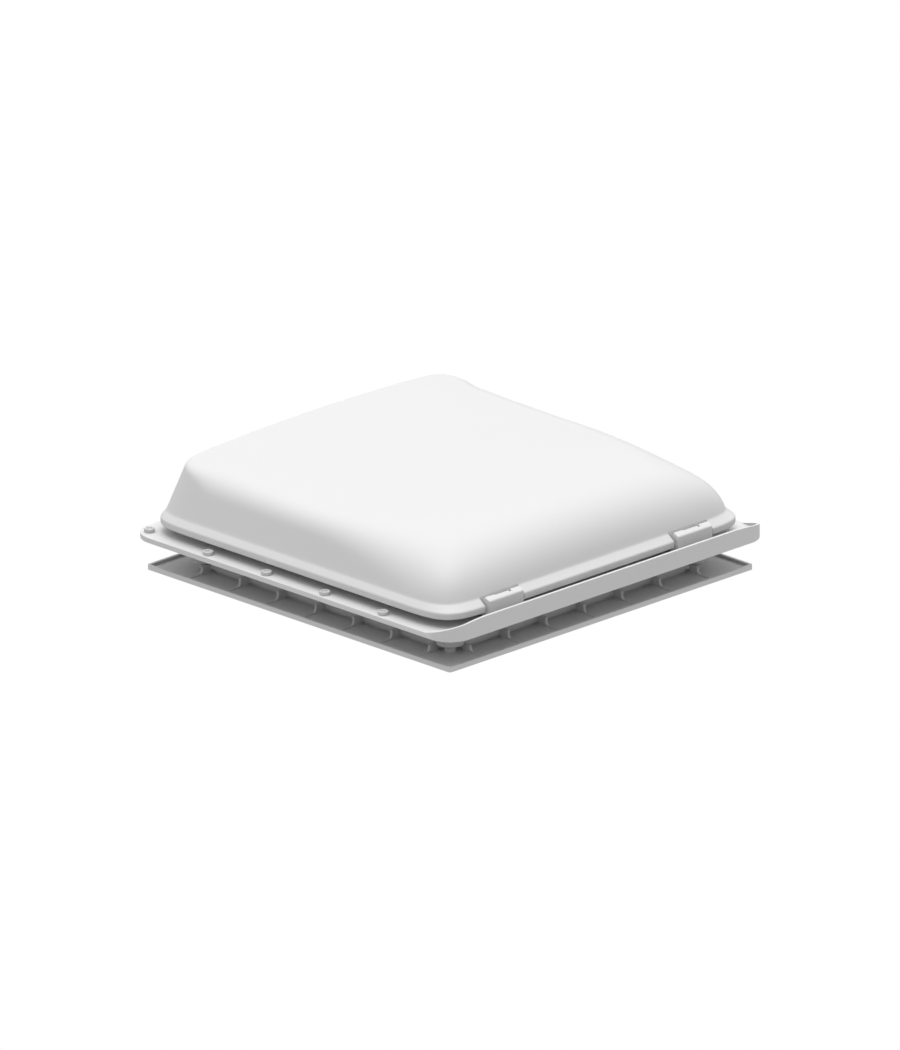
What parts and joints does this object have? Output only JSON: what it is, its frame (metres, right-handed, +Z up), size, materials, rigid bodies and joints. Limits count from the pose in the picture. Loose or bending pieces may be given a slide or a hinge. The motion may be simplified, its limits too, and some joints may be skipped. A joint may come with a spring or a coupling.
{
  "type": "roof vent",
  "caption": "Square caravan roof vent: domed lid hinged on a flanged outer frame, with lifting bow, turn locks, ribbed inner frame and fly screen.",
  "frame": {"origin": "centre of the inner frame's room-side face, at the lowest point of the part", "axes": "+Z up and out of the roof; the lid hinges along the -Y side and its free edge is at +Y"},
  "size_m": [0.476, 0.476, 0.1254],
  "materials": {
    "frame_white": "fine matt moulding",
    "lid_white": "satin",
    "liner_white": "matt",
    "screen_white": "matt",
    "seal_rubber": "matt",
    "screw_white": "white enamel",
    "steel": "satin",
    "bow_metal": "satin anodised",
    "grey_plastic": "matt",
    "dark_plastic": "fine grain",
    "net": "woven glass yarn"
  },
  "bodies": {
    "frame": {"outer_frame": "frame_white", "lid_seal": "seal_rubber", "flange_screws": "screw_white", "hinge_block_left": "frame_white", "hinge_block_right": "frame_white", "hinge_pin_left": "steel", "hinge_pin_right": "steel", "inner_frame": "frame_white", "clamp_screws": "steel", "screw_covers": "frame_white", "bow_bracket_left": "grey_plastic", "bow_bracket_right": "grey_plastic", "axle_cap_left": "grey_plastic", "axle_cap_right": "grey_plastic", "lock_bracket_left": "grey_plastic", "lock_bracket_right": "grey_plastic", "screen_pivot_left": "steel", "screen_pivot_right": "steel"},
    "lid": {"lid_shell": "lid_white", "lid_liner": "liner_white", "hinge_leaf_left": "frame_white", "hinge_leaf_right": "frame_white", "leaf_screws": "steel", "lid_guide": "grey_plastic", "guide_screws": "steel", "striker_left": "grey_plastic", "striker_right": "grey_plastic", "striker_screws": "steel"},
    "lifting_bow": {"bow": "bow_metal", "bow_grip_left": "dark_plastic", "bow_grip_right": "dark_plastic"},
    "left_lock": {"lock_knob_left": "dark_plastic", "lock_tongue_left": "steel"},
    "right_lock": {"lock_knob_right": "dark_plastic", "lock_tongue_right": "steel"},
    "fly_screen": {"screen_frame": "screen_white", "screen_net": "net"}
  },
  "joints": [
    {"name": "lid_hinge", "type": "hinge", "parent": "frame", "child": "lid", "pos_m": [0, -0.2158, 0.0612], "axis": [1, 0, 0], "range_deg": [0, 50]},
    {"name": "bow_swing", "type": "hinge", "parent": "frame", "child": "lifting_bow", "pos_m": [0, -0.04286, 0.04242], "axis": [1, 0, 0], "range_deg": [0, 100]},
    {"name": "left_lock_turn", "type": "hinge", "parent": "frame", "child": "left_lock", "pos_m": [-0.095, 0.1697, 0.0365], "axis": [0, 0, -1], "range_deg": [0, 90]},
    {"name": "right_lock_turn", "type": "hinge", "parent": "frame", "child": "right_lock", "pos_m": [0.095, 0.1697, 0.0365], "axis": [0, 0, 1], "range_deg": [0, 90]},
    {"name": "screen_swing", "type": "hinge", "parent": "frame", "child": "fly_screen", "pos_m": [0, -0.1715, 0.004], "axis": [-1, 0, 0], "range_deg": [0, 90]}
  ],
  "couplings": [
    {"joint": "bow_swing", "follows": "lid_hinge", "ratio": 2}
  ]
}
